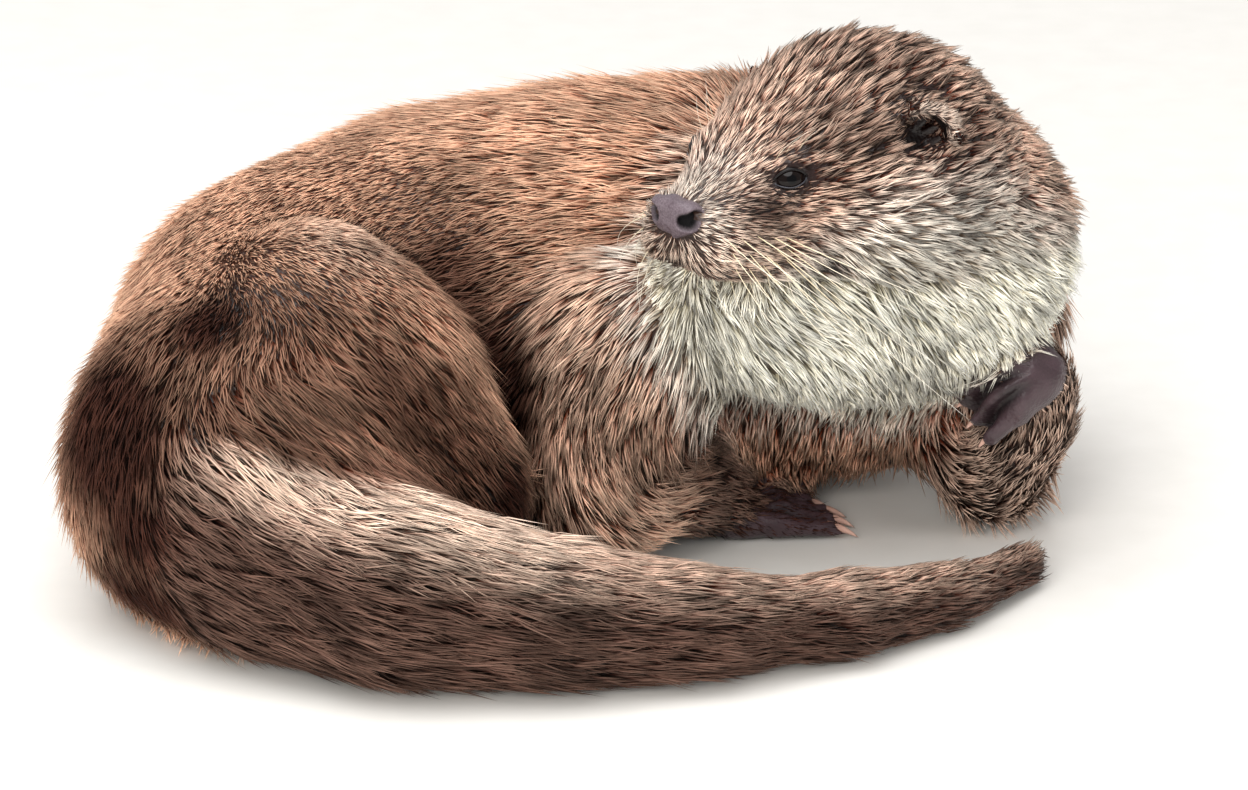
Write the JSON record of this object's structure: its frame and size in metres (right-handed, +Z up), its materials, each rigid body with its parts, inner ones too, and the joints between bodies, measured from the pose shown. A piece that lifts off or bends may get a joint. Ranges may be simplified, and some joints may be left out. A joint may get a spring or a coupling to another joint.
{
  "type": "curled otter",
  "caption": "Life-size still model of an otter lying curled on the floor, its head raised and turned back over its side.",
  "frame": {"origin": "on the floor under the middle of the bounding box", "axes": "+X from the rump to the shoulders, +Y to the far (left) side of the curled body, +Z up"},
  "size_m": [0.3412, 0.3086, 0.1947],
  "materials": {
    "coat": "brown fur, long guard hairs in damp-looking spikes over a dense underfur",
    "throat": "cream fur",
    "paw": "dark bare skin with thin short hair",
    "nose": "moist pebbled bare skin",
    "eye": "wet and clear"
  },
  "bodies": {
    "root": {"head": "coat", "neck": "throat", "chest": "coat", "ribs": "coat", "loins": "coat", "rump": "coat", "nose_pad": "nose", "eye_left": "eye", "ear_left": "coat", "eye_right": "eye", "ear_right": "coat", "thigh_right": "coat", "thigh_left": "coat", "upper_arm_right": "coat", "upper_arm_left": "coat", "tail_1": "coat", "tail_2": "coat", "tail_3": "coat", "tail_4": "coat", "shin_right": "coat", "hind_foot_right": "paw", "shin_left": "coat", "hind_foot_left": "paw", "forearm_right": "coat", "forepaw_right": "paw", "forearm_left": "coat", "forepaw_left": "paw"}
  },
  "joints": []
}
